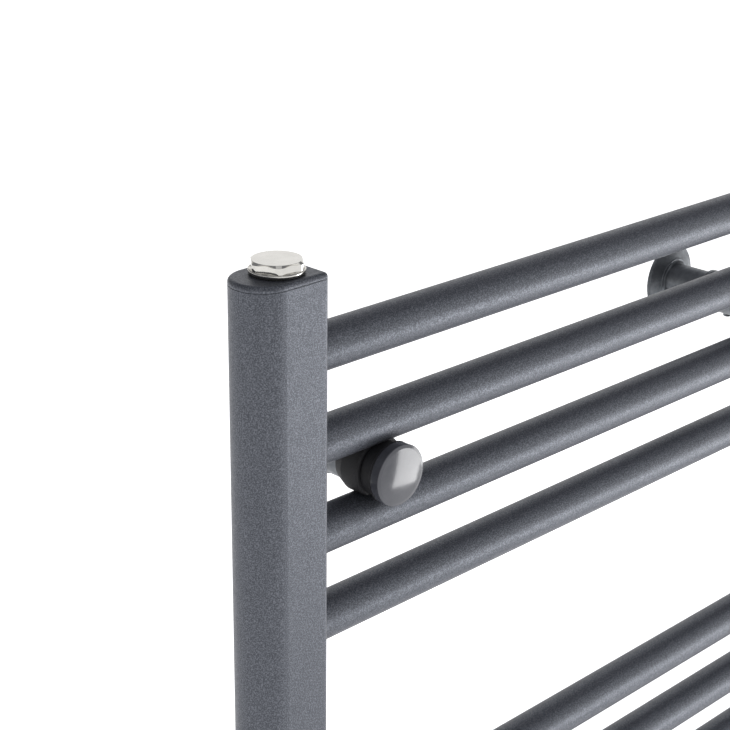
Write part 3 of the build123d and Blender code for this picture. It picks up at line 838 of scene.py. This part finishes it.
def makeUnionNut(side, centre):
    part = valveSet
    length = 2 * part["unionReach"]
    start = centre + up * (part["neckTop"] - part["unionReach"]) * mm
    mouth, thread, lip = part["unionMouth"], part["unionThread"], length - part["unionLip"]
    inner = [(length, mouth, 0.3), (lip, mouth, 0.1), (lip, thread, 0.2), (0, thread, 0.2)]
    finishPiece(side + "_union_nut_turned",
                hexLathe(start, up, part["unionFlats"], (0, length), inner), side + "_union_nut")


def makeInletNut(side, centre):
    part = valveSet
    start = centre + toWall * part["inletStart"] * mm
    length, mouth, thread = part["inletLength"], part["inletMouth"], part["inletThread"]
    inner = [(length, mouth, 0.3), (length - part["inletLip"], mouth, 0.1),
             (part["inletThreadEnd"], thread, 0.1), (0, thread, 0.2)]
    finishPiece(side + "_inlet_nut_turned",
                hexLathe(start, toWall, part["inletFlats"], (0, length), inner),
                side + "_inlet_nut")


def makeBonnet(side, centre):
    # shank in the body, hexagon, and a neck with the groove of its gland
    part = bonnetSet
    neck = part["neckRadius"]
    end = part["end"]
    inner = [(part["hexEnd"], neck, 0.4), (end - 4.2, neck, 0.2), (end - 3.9, neck - 0.45, 0.1),
             (end - 3.1, neck - 0.45, 0.1), (end - 2.8, neck, 0.2), (end - 0.7, neck, 0.3),
             (end, neck - 0.7, 0.2), (end, part["bore"], 0.15), (part["guideEnd"], part["bore"], 0.1),
             (part["guideEnd"], part["guide"], 0.1), (0, part["guide"], 0.15),
             (0, part["shankRadius"] - 0.6, 0.2), (0.6, part["shankRadius"], 0.2),
             (part["hexStart"], part["shankRadius"], 0.1)]
    start = centre + toRoom * part["start"] * mm
    finishPiece(side + "_bonnet_turned",
                hexLathe(start, toRoom, part["flats"], (part["hexStart"], part["hexEnd"]), inner),
                side + "_bonnet")


def valveCentre(side):
    low, high, middle = nodeBox(side + "_union_nut")
    return Vector((middle.x, middle.y, middle.z - valveSet["neckTop"] * mm))


for side in ("supply", "return"):
    centre = valveCentre(side)
    makeTailpiece(side, centre)
    makeUnionNut(side, centre)
    makeInletNut(side, centre)
    makeBonnet(side, centre)
print("valve fittings made")

# handwheel: twelve scallops that run out before a plain band, and a dished face
wheelSet = {
    "flutes": 12,
    "fluteRadius": 3.2,
    "fluteBite": 1.2,
    "fluteEnd": 27.0,
    "fadeLength": 5.0,
    "recessRadius": 9.0,
    "recess": 7.0,
    "dishRadius": 6.0,
    "dish": 5.0,
    "bore": 3.05,
    "rimRounding": 2.5,
    "faceRing": 15.5,           # the face sinks between this radius and the next
    "faceInner": 13.5,
    "faceSink": 0.9,
    "flutelessRadius": 14.0,    # nothing inside this is scalloped
}


def makeHandwheel():
    low, high, middle = nodeBox("handwheel")
    part = wheelSet
    radius = (high.x - low.x) / 2 / mm
    length = (high.y - low.y) / mm
    floor = length - part["dish"]
    face = length - part["faceSink"]
    points = [(0, part["recessRadius"], 0.4), (0, radius, 0.9)]
    points += [(part["fluteEnd"] - part["fadeLength"] + step, radius, 0) for step in range(6)]
    points += [(length, radius, part["rimRounding"]), (length, part["faceRing"], 1.0),
               (face, part["faceInner"], 1.5), (face, part["dishRadius"] + 0.5, 0.3),
               (face - 0.5, part["dishRadius"], 0.3),
               (floor, part["dishRadius"], 0.6), (floor, part["bore"], 0.1),
               (part["recess"], part["bore"], 0.1), (part["recess"], part["recessRadius"], 0.5)]
    ring = radius + part["fluteRadius"] - part["fluteBite"]

    def shape(angle, reach, distance):
        pitch = 360 / part["flutes"]
        away = math.radians((math.degrees(angle) + pitch / 2) % pitch - pitch / 2)
        side = ring * math.sin(away)
        if abs(side) >= part["fluteRadius"] or reach < part["flutelessRadius"]:
            return reach
        scallop = ring * math.cos(away) - math.sqrt(part["fluteRadius"] ** 2 - side ** 2)
        fade = min(max((part["fluteEnd"] - distance) / part["fadeLength"], 0), 1)
        scallop = radius + 0.4 - (radius + 0.4 - scallop) * fade * fade * (3 - 2 * fade)
        return softMin(reach, scallop, 0.5) if fade > 0 else reach

    start = Vector((middle.x, high.y, middle.z))
    finishPiece("handwheel_moulded", turnedMesh(start, toRoom, points, shape, sides=360, wrap=True),
                "handwheel")


# lockshield cap: a push-on cover with fine grip ribs and a shallow recess in its face
shieldSet = {
    "wall": 1.8,
    "rounding": 2.0,
    "ribs": 30,
    "ribDepth": 0.45,
    "ribStart": 5.0,
    "ribEnd": 22.0,
    "ribFade": 2.1,
    "faceRecess": 0.4,
    "faceRadius": 10.0,
}


def makeLockshieldCap():
    low, high, middle = nodeBox("lockshield_cap")
    part = shieldSet
    radius = (high.x - low.x) / 2 / mm
    length = (high.y - low.y) / mm
    bore = radius - part["wall"]
    points = [(0, bore, 0.2), (0, radius, 0.5), (part["ribStart"], radius, 0)]
    steps = [part["ribFade"] * share / 3 for share in range(4)]
    points += [(part["ribStart"] + step, radius, 0) for step in steps[1:]]
    points += [(part["ribEnd"] - step, radius, 0) for step in reversed(steps)]
    points += [(length, radius, part["rounding"]), (length, part["faceRadius"] + 0.4, 0.3),
               (length - part["faceRecess"], part["faceRadius"], 0.3),
               (length - part["faceRecess"], 0, 0), (length - part["wall"], 0, 0),
               (length - part["wall"], bore, 0.8)]

    def shape(angle, reach, distance):
        inside = min(distance - part["ribStart"], part["ribEnd"] - distance)
        fade = min(max(inside / part["ribFade"], 0), 1)
        if fade == 0 or reach < radius - 0.1:
            return reach
        wave = (0.5 + 0.5 * math.cos(part["ribs"] * angle)) ** 2
        return reach - part["ribDepth"] * wave * fade * fade * (3 - 2 * fade)

    start = Vector((middle.x, high.y, middle.z))
    finishPiece("lockshield_cap_moulded",
                turnedMesh(start, toRoom, points, shape, sides=360, wrap=True), "lockshield_cap")


makeHandwheel()
makeLockshieldCap()
print("handwheel and lockshield cap made")
